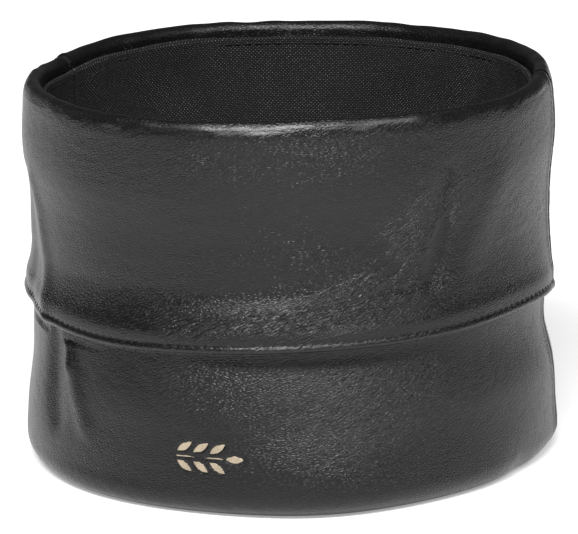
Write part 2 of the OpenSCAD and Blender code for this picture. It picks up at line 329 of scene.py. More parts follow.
def panel_rows():
    """Down the body from the inner edge of the fold, round the foot to the base seam, and back up."""
    fine, mid, hid = 1, 2, 6
    foot_c = BODY_R - FOOT
    lip = SEAM_BASE_R + LEATHER
    leg_in = LEG_R - LEATHER
    low_in = LEG_LOW_R - LEATHER
    edge_z = PEEK_Z + EDGE_R
    return (run((low_in, edge_z - 0.1), (low_in, TURN_Z), 3, hid, 0, 1)
            + run((leg_in, TURN_Z + 3), (leg_in, BEND_Z), 5, hid, 0, 1)
            + bend((BEND_R, BEND_Z), GAP / 2, 0, 180, 0.6, hid, 0, 0)
            + run((WALL_R, BEND_Z), (WALL_R, HEM_Z + 4), 4, hid, 0, 0)
            + run((WALL_R, HEM_Z + 4), (WALL_R, FLARE_TOP), 1, fine, 1, 0)
            + flare(FLARE_TOP, FOOT, 0.8, 0, fine, 1)
            + bend((foot_c, FOOT), FOOT, 0, -90, 0.8, fine, 1, 0)
            + run((foot_c, 0), (lip, 0), 1.2, mid, 1, 0)
            + bend((lip, LEATHER), LEATHER, 270, 180, 0.5, mid, 1, 0)
            + run((SEAM_BASE_R, LEATHER), (SEAM_BASE_R, FLOOR_LO), 1, hid, 0, 0)
            + run((SEAM_BASE_R, FLOOR_LO), (lip, FLOOR_LO), 1, hid, 0, 0)
            + run((lip, FLOOR_LO), (lip, LEATHER), 1, hid, 0, 0)
            + run((lip, LEATHER), (foot_c, LEATHER), 2, hid, 0, 0)
            + bend((foot_c, FOOT), FOOT - LEATHER, -90, 0, 1.6, hid, 0, 0)
            + flare(FOOT, FLARE_TOP, 3, LEATHER, hid, 0)
            + run((WALL_IN_R, FLARE_TOP), (WALL_IN_R, BEND_Z), 4, hid, 0, 0)
            + bend((BEND_R, BEND_Z), GAP / 2 + LEATHER, 180, 0, 1.2, hid, 0, 0)
            + run((LEG_R, BEND_Z), (LEG_R, TURN_Z + 3), 5, hid, 0, 1)
            + run((LEG_LOW_R, TURN_Z), (LEG_LOW_R, edge_z), 2, hid, 0, 1)
            + bend((LEG_LOW_R - EDGE_R, edge_z), EDGE_R, 0, -180, 0.35, mid, 0, 1))


def lining_foot(reach, floor, wall_foot, angles, stride, face):
    """The round corner between the canvas wall and the floor."""
    rise = wall_foot - floor
    return [(FLOOR_R + reach * math.cos(a), floor + rise * (1 - math.sin(a)), stride, face, 0)
            for a in angles]


def lining_rows():
    """Down the inside of the canvas from its turned top to the floor, and back up behind."""
    mid, hid = 2, 4
    back_r = FACE_R + CANVAS
    depth = WALL_R - FACE_R
    behind = WALL_R - back_r
    foot_in = BODY_R - depth - FLOOR_R
    foot_out = BODY_R - behind - FLOOR_R
    wall_foot = FOOT + 3
    top = CANVAS_TOP - CANVAS
    turn = CANVAS_TOP - CANVAS_TURN
    return (bend((back_r, top), CANVAS, 90, 180, 0.4, mid, 1, 0)
            + run((FACE_R, top), (FACE_R, FLARE_TOP), 1.6, mid, 1, 0)
            + flare(FLARE_TOP, wall_foot, 1.8, depth, mid, 1)
            + lining_foot(foot_in, FLOOR_HI, wall_foot, np.linspace(0, math.pi / 2, 7), mid, 1)
            + lining_foot(foot_out, FLOOR_LO, wall_foot, np.linspace(math.pi / 2, 0, 5), hid, 0)
            + flare(wall_foot + 2, FLARE_TOP, 6, behind, hid, 0)
            + run((back_r, FLARE_TOP), (back_r, turn), 6, hid, 0, 0)
            + run((back_r + CANVAS, turn), (back_r + CANVAS, top), 3, hid, 0, 0)
            + bend((back_r, top), CANVAS, 0, 90, 0.5, mid, 0, 0))


# -------------------- meshes

def columns(span, count, fine=3.5):
    """Directions from one seam to the next, closer together beside the seams."""
    start, end = span
    length = math.radians(end - start) * CUFF_R
    d = np.linspace(0, length, count + 1)
    near = np.minimum(d, length - d)
    eased = np.where(near < fine, near ** 2 / fine, near)
    d = np.where(d < length / 2, eased, length - eased)
    return start + np.degrees(d / CUFF_R)


def denser(phis, low, high, times):
    """The same directions with each step between low and high cut into a number of smaller ones."""
    made = []
    for a, b in zip(phis[:-1], phis[1:]):
        parts = times if low < (a + b) / 2 < high else 1
        made += [a + (b - a) * i / parts for i in range(parts)]
    return np.array(made + [phis[-1]])


def outline_normals(rows):
    """Outward directions in the (r, z) plane along a closed outline."""
    p = np.array([(q[0], q[1]) for q in rows])
    ahead, behind = np.roll(p, -1, 0) - p, p - np.roll(p, 1, 0)
    ahead /= np.linalg.norm(ahead, axis=1)[:, None]
    behind /= np.linalg.norm(behind, axis=1)[:, None]
    t = ahead + behind
    n = np.stack([t[:, 1], -t[:, 0]], 1)
    area = np.sum(p[:, 0] * np.roll(p[:, 1], -1) - np.roll(p[:, 0], -1) * p[:, 1])
    return n / np.linalg.norm(n, axis=1)[:, None] * (1 if area > 0 else -1)


def polar(phi, r, z):
    """Points in space, in millimetres."""
    a = np.radians(phi)
    return np.stack([r * np.sin(a), -r * np.cos(a), z], -1)


def strip(faces, a, b, forward):
    """Faces between two rows of vertex numbers, whose counts may differ by a whole ratio."""
    if len(a) < len(b):
        a, b, forward = b, a, not forward
    k = (len(a) - 1) // (len(b) - 1)
    for j in range(len(b) - 1):
        ring = [b[j]] + list(a[j * k:j * k + k + 1]) + [b[j + 1]]
        faces.append(ring if forward else ring[::-1])


def tube_faces(faces, first, count, levels):
    """Closes a tube of rings whose vertices are numbered one ring after another."""
    last = first + (levels - 1) * count
    for level in range(first, last, count):
        for i in range(count):
            a, b = level + i, level + (i + 1) % count
            faces.append([a, a + count, b + count, b])
    faces.append([first + i for i in range(count)])
    faces.append([last + i for i in range(count)][::-1])


def sweep(name, rows, phis, relief):
    """A closed outline carried from one seam to the next as a shell with flat ends."""
    normals = outline_normals(rows)
    area = sum(p[0] * q[1] - q[0] * p[1] for p, q in zip(rows, rows[1:] + rows[:1]))
    points, numbers, surf, total = [], [], [], 0
    length = 0.0
    for i, (r, z, stride, face, cuff) in enumerate(rows):
        phi = phis[::stride]
        length += math.dist(rows[i - 1][:2], (r, z)) if i else 0
        out, up = place(phi, np.full_like(phi, r), np.full_like(phi, z), cuff)
        lift = relief(phi, r, z, face, cuff)
        points.append(polar(phi, out + normals[i, 0] * lift, up + normals[i, 1] * lift))
        surf.append(np.stack([np.radians(phi) * CUFF_R, np.full_like(phi, length), phi * 0], -1))
        numbers.append(np.arange(total, total + len(phi)))
        total += len(phi)
    faces = []
    for i in range(len(rows)):
        strip(faces, numbers[i], numbers[(i + 1) % len(rows)], area < 0)
    first = [int(n[0]) for n in numbers]
    last = [int(n[-1]) for n in numbers]
    faces.append(first[::-1] if area > 0 else first)
    faces.append(last if area > 0 else last[::-1])
    made = mesh_object(name, np.concatenate(points), faces)
    keep_vector(made, "surf", np.concatenate(surf) * MM)
    return made


def link(made):
    bpy.context.scene.collection.objects.link(made)


def mesh_object(name, points, faces):
    mesh = bpy.data.meshes.new(name)
    mesh.from_pydata((np.asarray(points) * MM).tolist(), [], [[int(i) for i in f] for f in faces])
    mesh.validate()
    mesh.polygons.foreach_set("use_smooth", [len(p.vertices) < 20 for p in mesh.polygons])
    mesh.update()
    made = bpy.data.objects.new(name, mesh)
    link(made)
    return made


def keep_vector(made, name, values):
    data = made.data.attributes.new(name, "FLOAT_VECTOR", "POINT")
    data.data.foreach_set("vector", np.asarray(values, np.float32).ravel())


def keep_value(made, name, values):
    data = made.data.attributes.new(name, "FLOAT", "POINT")
    data.data.foreach_set("value", np.asarray(values, np.float32))


def point_polar(made):
    """Direction, radius and height of each vertex."""
    co = np.zeros(len(made.data.vertices) * 3)
    made.data.vertices.foreach_get("co", co)
    co = co.reshape(-1, 3) / MM
    return np.degrees(np.arctan2(co[:, 0], -co[:, 1])), np.hypot(co[:, 0], co[:, 1]), co[:, 2]


# -------------------- relief of the visible faces

HEM_STITCHES = {"front": 97, "rear": 82}
PRESSED = 0.35


def stitch_step(phi):
    """Position within a stitch of the hem, from 0 to 1, at directions of either half."""
    past = (phi - SEAM_L) % 360
    span = SEAM_R - SEAM_L
    front = span / HEM_STITCHES["front"]
    rear = (360 - span) / HEM_STITCHES["rear"]
    return np.where(past < span, (past / front) % 1, ((past - span) / rear) % 1)


def seam_relief(phi):
    """The groove of a side seam between the two turned edges."""
    d = seam_gap(phi)
    return 0.45 * bell(d - 2.6, 1.9) - 1.0 * bell(d, 0.8)


def wrinkles(phi, z, seed, along, across, angle):
    """Fine creases: lines along the zero crossings of random waves, 1 along a line."""
    return bell(waves(phi, z, seed, along, across, angle), 0.35)


def crease_mask(phi, z):
    """Where the cuff carries its fine diagonal creases, up along the right fold."""
    return fold(phi, z, (17, 84), (36, 112), 9)


def hem_crease_mask(phi, z):
    """Where it carries the flatter ones, across the front above the hem."""
    return np.clip(fold(phi, z, (-26, 70.5), (4, 72), 4.5) + fold(phi, z, (4, 73), (24, 80), 6), 0, 1)


def body_crease_mask(phi, z):
    """Where the front of the body is creased, under the hem."""
    return swell(phi, z, 14, 38, 26, 14)


def hem_relief(phi, z):
    """The dimples of the topstitching, the folded edge below them and the padded roll above."""
    hole = 1 - np.abs(stitch_step(phi) - 0.5) * 2
    dimples = bell(z - STITCH_Z, 0.45) * (0.15 + 0.5 * smooth(hole, 0.6, 0.9))
    roll = (0.3 + 0.8 * around(phi, -3, 33)) * bell(z - HEM_Z - 6.6, 2.6)
    return 0.8 * bell(z - HEM_Z - 0.3, 1.2) + roll - dimples


def cuff_relief(phi, r, z, face, cuff):
    """How far a row of the facing is raised or pressed in."""
    if not face:
        return np.zeros_like(phi)
    if not cuff or z >= BEND_Z:
        return seam_relief(phi) + 0.12 * waves(phi, np.full_like(phi, r * 2 + z), 31, 9, 12)
    diagonal = 0.15 * crease_mask(phi, z) * waves(phi, z, 21, 8, 1.9, 31)
    flat = 0.2 * hem_crease_mask(phi, z) * waves(phi, z, 22, 8, 1.9, 14)
    fine = 0.10 * wrinkles(phi, z, 23, 14, 3.5, 8) * smooth(z, HEM_Z + 10, HEM_Z + 20)
    return seam_relief(phi) + diagonal + flat - fine + hem_relief(phi, z)


def body_relief(phi, r, z, face, cuff):
    """The same for a row of the panel."""
    if not face:
        return np.zeros_like(phi)
    lift = seam_relief(phi) * smooth(z, 0, FOOT)
    if z > 1:
        lift = lift - 0.12 * wrinkles(phi, z, 41, 12, 4.5, 25) * body_crease_mask(phi, z)
        lift = lift - 0.07 * wrinkles(phi, z, 42, 9, 5, -30)
    return lift - stamp_depth(phi, z) * PRESSED


def lining_relief(phi, r, z, face, cuff):
    """The same for a row of the canvas: it sags, and its seams and its edge show."""
    if not face:
        return np.zeros_like(phi)
    sag = waves(phi, z, 51, 26, 40) * 0.35 * smooth(z, 6, 20)
    seam = 0.5 * bell(seam_gap(phi), 4.0) - 0.5 * bell(seam_gap(phi), 0.7)
    top = 0.35 * bell(z - CANVAS_TOP + 1.2, 1.5)
    line = 0.3 * bell(z - RIM_STITCH_Z, 0.7)
    return np.clip(sag, -0.3, 1.2) + seam + top - line


# -------------------- sprig

MARK_LO, MARK_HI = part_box("foil_mark")
MARK_PHI = math.degrees(math.atan2((MARK_LO.x + MARK_HI.x) / 2, -(MARK_LO.y + MARK_HI.y) / 2))
MARK_Z = (MARK_LO.z + MARK_HI.z) / 2 / MM
MARK_W = 26.0
MARK_H = 9
LEAF_L = 7.0
LEAF_W = 2.6
LEAF_ANGLE = 32
STEM_T = 0.8


def leaf_outline(count=14):
    """A pointed leaf that lies along +X from its stalk, with its middle at 0."""
    t = np.linspace(0, 1, count)
    upper = [(LEAF_L * (a - 0.5), LEAF_W / 2 * math.sin(math.pi * a) ** 0.9) for a in t]
    return upper + [(x, -y) for x, y in upper[-2:0:-1]]


def turned(points, angle, x, y):
    c, s = cos_sin(angle)
    return [(x + px * c - py * s, y + px * s + py * c) for px, py in points]


def sprig_shapes():
    """Outlines of the stem and leaves, in millimetres about the mark's middle."""
    stem_end = MARK_W / 2 - LEAF_L - 0.5
    half = STEM_T / 2
    stem = [(-MARK_W / 2, -half), (stem_end, -half * 0.7), (stem_end, half * 0.7), (-MARK_W / 2, half)]
    shapes = [stem, turned(leaf_outline(), 0, (MARK_W - LEAF_L) / 2, 0)]
    step = (MARK_W - LEAF_L) / 3
    for i in range(3):
        for side in (-1, 1):
            angle = LEAF_ANGLE * side
            c, s = cos_sin(angle)
            x = i * step - MARK_W / 2 + 0.5 + c * LEAF_L / 2
            y = side * (half + 0.5 + LEAF_W / 4) + s * LEAF_L / 2
            shapes.append(turned(leaf_outline(), angle, x, y))
    return shapes


def inside_distance(shape, x, y):
    """Signed distance to a shape's outline, positive inside."""
    p = np.array(shape)
    q = np.roll(p, -1, 0)
    best = np.full(x.shape, 1e9)
    odd = np.zeros(x.shape, bool)
    for (ax, ay), (bx, by) in zip(p, q):
        ex, ey = bx - ax, by - ay
        t = np.clip(((x - ax) * ex + (y - ay) * ey) / (ex * ex + ey * ey), 0, 1)
        best = np.minimum(best, np.hypot(x - ax - t * ex, y - ay - t * ey))
        crosses = (ay > y) != (by > y)
        if ey:
            odd ^= crosses & (x < ax + (y - ay) * ex / ey)
    return np.where(odd, best, -best)


SPRIG = sprig_shapes()


def stamp_depth(phi, z):
    """How deep the leather is pressed for the sprig, from 0 to 1."""
    x = np.radians(wrap(phi - MARK_PHI)) * BODY_R
    y = np.full_like(x, z - MARK_Z)
    if abs(z - MARK_Z) > MARK_H:
        return np.zeros_like(x)
    near = np.max([inside_distance(s, x, y) for s in SPRIG], axis=0)
    return smooth(near, -0.55, 0.1)


def sprig_piece():
    """The foil: thin curved leaves that lie in the pressed leather."""
    points, faces = [], []
    levels = [(1.0, -0.18), (1.0, 0.0), (0.93, 0.06), (0.5, 0.08)]
    for shape in SPRIG:
        ring = np.array(shape)
        middle = ring.mean(0)
        tube_faces(faces, len(points), len(ring), len(levels))
        for scale, height in levels:
            points += on_body(middle + (ring - middle) * scale, height)
    return mesh_object("sprig_foil", points, [face[::-1] for face in faces])


def on_body(flat, height):
    """Points of the sprig's flat drawing laid on the pressed floor of the leather."""
    phi = MARK_PHI + np.degrees(flat[:, 0] / BODY_R)
    z = MARK_Z + flat[:, 1]
    r = np.array([body_r(h) if h > FOOT else BODY_R for h in z])
    out, up = place(phi, r, z, np.zeros_like(z))
    return [tuple(p) for p in polar(phi, out - PRESSED + height, up)]


# -------------------- stitches

THREAD_R = 0.3
SEAM_PITCH = 4.0
WALL_SEAM_LOW = 13.5
RIM_STITCHES = 145
FLOOR_STITCHES = 137
BASE_STITCHES = 128
SEAM_START = TURN_Z + 1.5
# A stitch's cross-sections: position along it and share of its thickness.
STITCH_RINGS = [(0.0, 0.45), (0.12, 0.85), (0.35, 1.0), (0.65, 1.0), (0.88, 0.85), (1.0, 0.45)]
STITCH_SIDES = 8
STITCH_SQUASH = 0.8


def capsule(points, faces, start, end, out, radius):
    """A rounded stitch between two points, with out the direction away from the leather."""
    start, end, out = (np.asarray(v, float) for v in (start, end, out))
    along = end - start
    length = np.linalg.norm(along)
    along /= length
    out = out - along * (out @ along)
    out /= np.linalg.norm(out)
    side = np.cross(along, out)
    tube_faces(faces, len(points), STITCH_SIDES, len(STITCH_RINGS))
    for t, size in STITCH_RINGS:
        sink = -0.5 * radius * (abs(2 * t - 1) ** 2.5)
        for j in range(STITCH_SIDES):
            a = 2 * math.pi * j / STITCH_SIDES
            shift = side * math.cos(a) + out * math.sin(a) * STITCH_SQUASH
            points.append(start + along * length * t + shift * radius * size + out * sink)


def surface_point(phi, r, z, cuff, lift):
    """A point of a layer's face and its outward direction, for a level of lift above it."""
    def point(p, h):
        out, up = place(np.array([p]), np.array([r]), np.array([h]), cuff)
        return polar(np.array([p]), out, up)[0]
    here = point(phi, z)
    a = point(phi + 0.3, z) - here
    b = point(phi, z + 0.3) - here
    out = np.cross(a, b)
    out /= np.linalg.norm(out)
    return here + out * lift, out


def stitches_piece(name, spans, radius):
    """One object of stitches, each given by its two ends on a surface and its outward direction."""
    points, faces = [], []
    for start, end, out in spans:
        capsule(points, faces, start, end, out, radius)
    return mesh_object(name, points, faces)


def ring_spans(r, z, cuff, lift, directions, fill, inward=False):
    """Stitches round a layer, each covering a share of the way from one direction to the next."""
    spans = []
    for a, b in zip(directions[:-1], directions[1:]):
        gap = (b - a) * (1 - fill) / 2
        p, n = surface_point(a + gap, r, z, cuff, lift)
        q, _ = surface_point(b - gap, r, z, cuff, lift)
        spans.append((p, q, -n if inward else n))
    return spans


def hem_stitches():
    spans = []
    for half, (start, end) in SPANS.items():
        directions = np.linspace(start, end, HEM_STITCHES[half] + 1)
        spans += ring_spans(CUFF_R, STITCH_Z, 1, -0.3, directions, 0.36)
    return stitches_piece("hem_topstitch_thread", spans, 0.45)


def rim_stitches():
    directions = np.linspace(SEAM_L, SEAM_L + 360, RIM_STITCHES + 1)
    spans = ring_spans(FACE_R, RIM_STITCH_Z, 0, -0.05, directions, 0.75, inward=True)
    return stitches_piece("lining_edge_thread", spans, THREAD_R)


def base_ring(name, r, z, count, upright):
    """Stitches in a ring, on an upright face that looks inwards or on a level one that looks up."""
    spans = []
    for i in range(count):
        turns = np.array([360 * i / count, 360 * (i + 0.72) / count])
        p, q = polar(turns, np.full(2, r), np.full(2, z))
        spans.append((p, q, -p * (1, 1, 0) if upright else (0, 0, 1)))
    return stitches_piece(name, spans, THREAD_R)


def wall_seam_stitches(name, phi, depth, z_high, inward):
    """Stitches up a side seam of the wall."""
    spans = []
    for i in range(int((z_high - WALL_SEAM_LOW) / SEAM_PITCH)):
        z = WALL_SEAM_LOW + i * SEAM_PITCH
        top = z + 3
        p, n = surface_point(phi - 0.15, body_r(z) - depth, z, 0, 0)
        q, _ = surface_point(phi + 0.15, body_r(top) - depth, top, 0, 0)
        spans.append((p, q, -n if inward else n))
    return stitches_piece(name, spans, THREAD_R)


def rim_path(s):
    """A point of the facing's outer face, at a distance along it from above the hem to the canvas."""
    up, half = BEND_Z - SEAM_START, math.pi * ROLL_R
    if s < up:
        return CUFF_R, SEAM_START + s, 1, (1, 0)
    if s < up + half:
        a = (s - up) / ROLL_R
        return (BEND_R + ROLL_R * math.cos(a), BEND_Z + ROLL_R * math.sin(a),
                1 if a < math.pi / 2 else 0, (math.cos(a), math.sin(a)))
    return BEND_R - ROLL_R, BEND_Z - (s - up - half), 0, (-1, 0)


def rim_seam_stitches(name, phi):
    """Stitches that bridge the groove of a side seam, up the cuff and over the rim."""
    spans = []
    sink = -0.42
    total = BEND_Z - SEAM_START + math.pi * ROLL_R + BEND_Z - CANVAS_TOP - 1.5
    for i in range(int(total / SEAM_PITCH)):
        ends = []
        for s, turn in ((i * SEAM_PITCH + 0.3, -0.38), (i * SEAM_PITCH + 2.7, 0.38)):
            r, z, cuff, (nr, nz) = rim_path(s)
            out, up = place(np.array([phi + turn]), np.array([r]), np.array([z]), cuff)
            ends.append((polar(np.array([phi + turn]), out + nr * sink, up + nz * sink)[0],
                         polar(np.array([phi]), np.array([nr]), np.array([nz]))[0]))
        (start, n), (end, m) = ends
        spans.append((start, end, n + m))
    return stitches_piece(name, spans, 0.32)


# -------------------- base discs

def disc(name, profile, count, lift=None):
    """A closed round plate from its outline of (r, z), which starts and ends on the axis."""
    points, faces = [], []
    phis = np.linspace(0, 360, count, endpoint=False)
    numbers = []
    for r, z in profile:
        if r < 1e-6:
            points.append((0.0, 0.0, z))
            numbers.append([len(points) - 1])
            continue
        level = np.full(count, z) + (lift(phis, r, z) if lift else 0)
        numbers.append(list(range(len(points), len(points) + count)))
        points += [tuple(p) for p in polar(phis, np.full(count, r), level)]
    for a, b in zip(numbers[:-1], numbers[1:]):
        for j in range(count):
            k = (j + 1) % count
            if len(a) == 1:
                faces.append([a[0], b[k], b[j]])
            elif len(b) == 1:
                faces.append([a[j], a[k], b[0]])
            else:
                faces.append([a[j], a[k], b[k], b[j]])
    made = mesh_object(name, points, faces)
    keep_vector(made, "surf", np.array(points) * MM)
    return made


def steps(a, b, count):
    """Points from a up to, but not at, b."""
    return [(a[0] + (b[0] - a[0]) * i / count, a[1] + (b[1] - a[1]) * i / count) for i in range(count)]


def base_leather_piece():
    lip = SEAM_BASE_R - LEATHER
    edge = [(lip + LEATHER * math.sin(a), LEATHER - LEATHER * math.cos(a))
            for a in np.linspace(0, math.pi / 2, 6)]
    profile = (steps((0, 0), (lip, 0), 40) + edge
               + [(SEAM_BASE_R, FLOOR_LO), (lip, FLOOR_LO), (lip, LEATHER + 0.02)]
               + steps((lip - 1, LEATHER), (0, LEATHER), 6) + [(0, LEATHER)])

    def soft(phi, r, z):
        """The underside lifts a little off the table inside its edge."""
        inner = smooth(r, 82, 60) * smooth(r, 0, 20) if z < 0.5 else 0
        return np.maximum(0.12 * inner * (1 + waves(phi, r, 61, 30, 30)), 0)
    return disc("base_leather_sheet", profile, 240, soft)


def lining_base_piece():
    profile = (steps((0, FLOOR_LO), (FLOOR_R, FLOOR_LO), 6)
               + [(FLOOR_R, FLOOR_LO), (FLOOR_R + 0.1, (FLOOR_LO + FLOOR_HI) / 2), (FLOOR_R, FLOOR_HI)]
               + steps((FLOOR_R - 1.5, FLOOR_HI), (0, FLOOR_HI), 56) + [(0, FLOOR_HI)])

    def soft(phi, r, z):
        """The top face is a little slack, and raised along its seam."""
        if z < FLOOR_HI - 0.1:
            return 0.0
        slack = 0.12 * smooth(r, 0, 30) * smooth(r, FLOOR_R, 70)
        return 0.25 * bell(r - FLOOR_R + 3.5, 2) + slack * waves(phi, r, 62, 34, 26)
    return disc("lining_base_canvas", profile, 240, soft)


# -------------------- materials

# Lengths in a material are in metres.
GRAIN = 0.00085
BLACK = (0.004, 0.004, 0.0041)
SATIN = 0.34


def new_material(name):
    material = bpy.data.materials.new(name)
    material.use_nodes = True
    tree = material.node_tree
    tree.nodes.clear()
    return material, tree


def add(tree, kind, inputs=(), **settings):
    """A node with its settings. inputs maps a socket's name or number to a value or another socket."""
    made = tree.nodes.new("ShaderNode" + kind)
    for key, value in settings.items():
        setattr(made, key, value)
    for key, value in dict(inputs).items():
        if isinstance(value, bpy.types.NodeSocket):
            tree.links.new(value, made.inputs[key])
        else:
            made.inputs[key].default_value = value
    return made


def math_node(tree, operation, a, b=0.0, clamp=False):
    return add(tree, "Math", {0: a, 1: b}, operation=operation, use_clamp=clamp).outputs[0]


def times(tree, a, b, clamp=False):
    return math_node(tree, "MULTIPLY", a, b, clamp)


def plus(tree, a, b, clamp=False):
    return math_node(tree, "ADD", a, b, clamp)


def scaled(tree, vector, factors):
    return add(tree, "VectorMath", {0: vector, 1: factors}, operation="MULTIPLY").outputs[0]


def moved(tree, vector, shift):
    return add(tree, "VectorMath", {0: vector, 1: shift}, operation="ADD").outputs[0]


def noise(tree, vector, scale, detail, output="Fac"):
    return add(tree, "TexNoise", {"Vector": vector, "Scale": scale, "Detail": detail}).outputs[output]


def value_of(tree, name, output="Fac"):
    """What the mesh carries under a name."""
    return add(tree, "Attribute", attribute_name=name).outputs[output]


def ranged(tree, value, low, high, to_low, to_high):
    made = add(tree, "MapRange", {"Value": value, "From Min": low, "From Max": high,
                                  "To Min": to_low, "To Max": to_high}, interpolation_type="SMOOTHSTEP")
    return made.outputs["Result"]


def bumped(tree, height, distance, strength=1.0):
    made = add(tree, "Bump", {"Strength": strength, "Distance": distance, "Height": height})
    return made.outputs[0]


def surface(tree, colour, roughness, normal, **more):
    """The shader of a material, and its output. more gives other sockets, with _ for a space."""
    sockets = {"Base Color": colour, "Roughness": roughness, "Normal": normal}
    sockets.update({key.replace("_", " "): value for key, value in more.items()})
    finish_material(tree, add(tree, "BsdfPrincipled", sockets))


def finish_material(tree, shader):
    out = add(tree, "OutputMaterial")
    tree.links.new(shader.outputs[0], out.inputs["Surface"])


def grey_ramp(tree, value, stops):
    ramp = add(tree, "ValToRGB", {"Fac": value})
    ramp.color_ramp.elements[0].position = stops[0][0]
    ramp.color_ramp.elements[0].color = (*stops[0][1], 1)
    ramp.color_ramp.elements[1].position = stops[-1][0]
    ramp.color_ramp.elements[1].color = (*stops[-1][1], 1)
    for position, colour in stops[1:-1]:
        ramp.color_ramp.elements.new(position).color = (*colour, 1)
    return ramp.outputs["Color"]


def leather_height(tree, at, pebble, patches, wear):
    """Rounded pebbles and pores, calmer in some patches and where the leather is worn."""
    small = add(tree, "TexVoronoi", {"Vector": at, "Scale": 2.3 / GRAIN}, feature="F1")
    height = plus(tree, times(tree, pebble, 0.7), times(tree, small.outputs["Distance"], -0.35))
    height = plus(tree, height, times(tree, leather_noise(tree, 3200.0, 2.0), 0.2))
    strength = ranged(tree, patches, 0.3, 0.7, 0.45, 1.0)
    calm = math_node(tree, "SUBTRACT", 1.0, times(tree, wear, 0.72))
    height = times(tree, times(tree, height, strength), calm)
    return plus(tree, height, crease_height(tree))


def leather_place(tree):
    """The place on the leather, with the grain drawn out along the basket's turn."""
    return scaled(tree, value_of(tree, "surf", "Vector"), (0.5, 1.05, 1.0))


def leather_noise(tree, scale, detail):
    return noise(tree, leather_place(tree), scale, detail)


def crease_height(tree):
    """Long thin creases, where the mesh carries them in its crease value."""
    flow = value_of(tree, "flow", "Vector")
    lines = add(tree, "TexNoise", {"Vector": flow, "Scale": 1.0, "Detail": 3.0, "Roughness": 0.55})
    ridge = math_node(tree, "ABSOLUTE", math_node(tree, "SUBTRACT", lines.outputs["Fac"], 0.5))
    line = ranged(tree, ridge, 0.0, 0.14, -1.0, 0.0)
    return times(tree, times(tree, line, value_of(tree, "crease")), 1.8)


def leather_material():
    """Pebbled full-grain leather: warped cells, fine pores, soft patches, shine where it is handled."""
    material, tree = new_material("black_leather")
    at = leather_place(tree)
    at = moved(tree, at, scaled(tree, noise(tree, at, 600.0, 2.0, "Color"), (0.0006,) * 3))
    cells = add(tree, "TexVoronoi", {"Vector": at, "Scale": 1 / GRAIN}, feature="DISTANCE_TO_EDGE")
    pebble = ranged(tree, cells.outputs["Distance"], 0.0, 0.45, 0.0, 1.0)
    patches = leather_noise(tree, 38.0, 3.0)
    cloud = leather_noise(tree, 14.0, 2.0)
    wear = value_of(tree, "wear")
    # The pebbles' tops are painted lighter and the valleys between them darker: painted light and shade
    # on the grain. The cloud and the rubbed edges add the leather's own tone.
    tone_and_painted_grain_shade = plus(tree, ranged(tree, cloud, 0.3, 0.7, 0.0, 0.2), times(tree, pebble, 0.75))
    tone_and_painted_grain_shade = plus(tree, tone_and_painted_grain_shade, times(tree, wear, 0.15), clamp=True)
    low = tuple(c * 0.15 for c in BLACK)
    high = tuple(c * 2.6 for c in BLACK)
    colour = grey_ramp(tree, tone_and_painted_grain_shade, [(0.0, low), (0.55, BLACK), (1.0, high)])
    gloss = ranged(tree, patches, 0.3, 0.7, SATIN + 0.04, SATIN - 0.04)
    gloss = plus(tree, plus(tree, gloss, times(tree, wear, -0.05)), times(tree, pebble, -0.03))
    height = leather_height(tree, at, pebble, patches, wear)
    surface(tree, colour, gloss, bumped(tree, height, 0.00019), IOR=1.38)
    return material


def canvas_material():
    """Plain weave with threads about 0.8 mm apart, and a painted highlight on the crossings that lie on
    top.
    """
    material, tree = new_material("charcoal_canvas")
    dark, light = (0.003, 0.003, 0.0031), (0.16, 0.16, 0.16)
    middle = tuple((a + b) / 2.6 for a, b in zip(dark, light))
    surf = value_of(tree, "surf", "Vector")
    sway = scaled(tree, noise(tree, surf, 220.0, 1.0, "Color"), (0.0005, 0.0005, 0.0))
    axes = add(tree, "SeparateXYZ", {0: moved(tree, surf, sway)})
    u = math_node(tree, "COSINE", times(tree, axes.outputs[0], math.pi / 0.00081))
    v = math_node(tree, "COSINE", times(tree, axes.outputs[1], math.pi / 0.00072))
    cross = times(tree, u, v)
    lump = noise(tree, surf, 900.0, 2.0)
    fibre = noise(tree, surf, 5200.0, 2.0)
    worn = noise(tree, surf, 55.0, 3.0)
    # over finds the crossings that lie on top, and glint is the painted highlight on them. It is patchy
    # with lump, and weaker where the worn noise is low.
    over = ranged(tree, cross, 0.3, 1.0, 0.0, 1.0)
    glint = times(tree, over, ranged(tree, lump, 0.35, 0.65, 0.25, 1.0))
    glint = times(tree, glint, ranged(tree, worn, 0.3, 0.7, 0.55, 1.0), clamp=True)
    colour = grey_ramp(tree, glint, [(0.0, dark), (0.5, middle), (1.0, light)])
    height = plus(tree, math_node(tree, "ABSOLUTE", cross), times(tree, over, 0.6))
    height = plus(tree, height, times(tree, fibre, 0.3))
    surface(tree, colour, 0.85, bumped(tree, height, 0.00018), Specular_IOR_Level=0.25)
    return material


def thread_material():
    """Twisted polyester thread."""
    material, tree = new_material("black_thread")
    tone = (0.008, 0.008, 0.008)
    place_at = add(tree, "TexCoord").outputs["Object"]
    twist = add(tree, "TexWave", {"Vector": place_at, "Scale": 900.0, "Distortion": 1.5, "Detail": 1.0},
                wave_type="BANDS", bands_direction="DIAGONAL").outputs["Fac"]
    fuzz = noise(tree, place_at, 2500.0, 2.0)
    colour = grey_ramp(tree, times(tree, twist, fuzz),
                       [(0.0, tuple(c * 0.5 for c in tone)), (1.0, tuple(c * 1.8 for c in tone))])
    surface(tree, colour, 0.75, bumped(tree, twist, 0.0001, 0.6), Specular_IOR_Level=0.3)
    return material


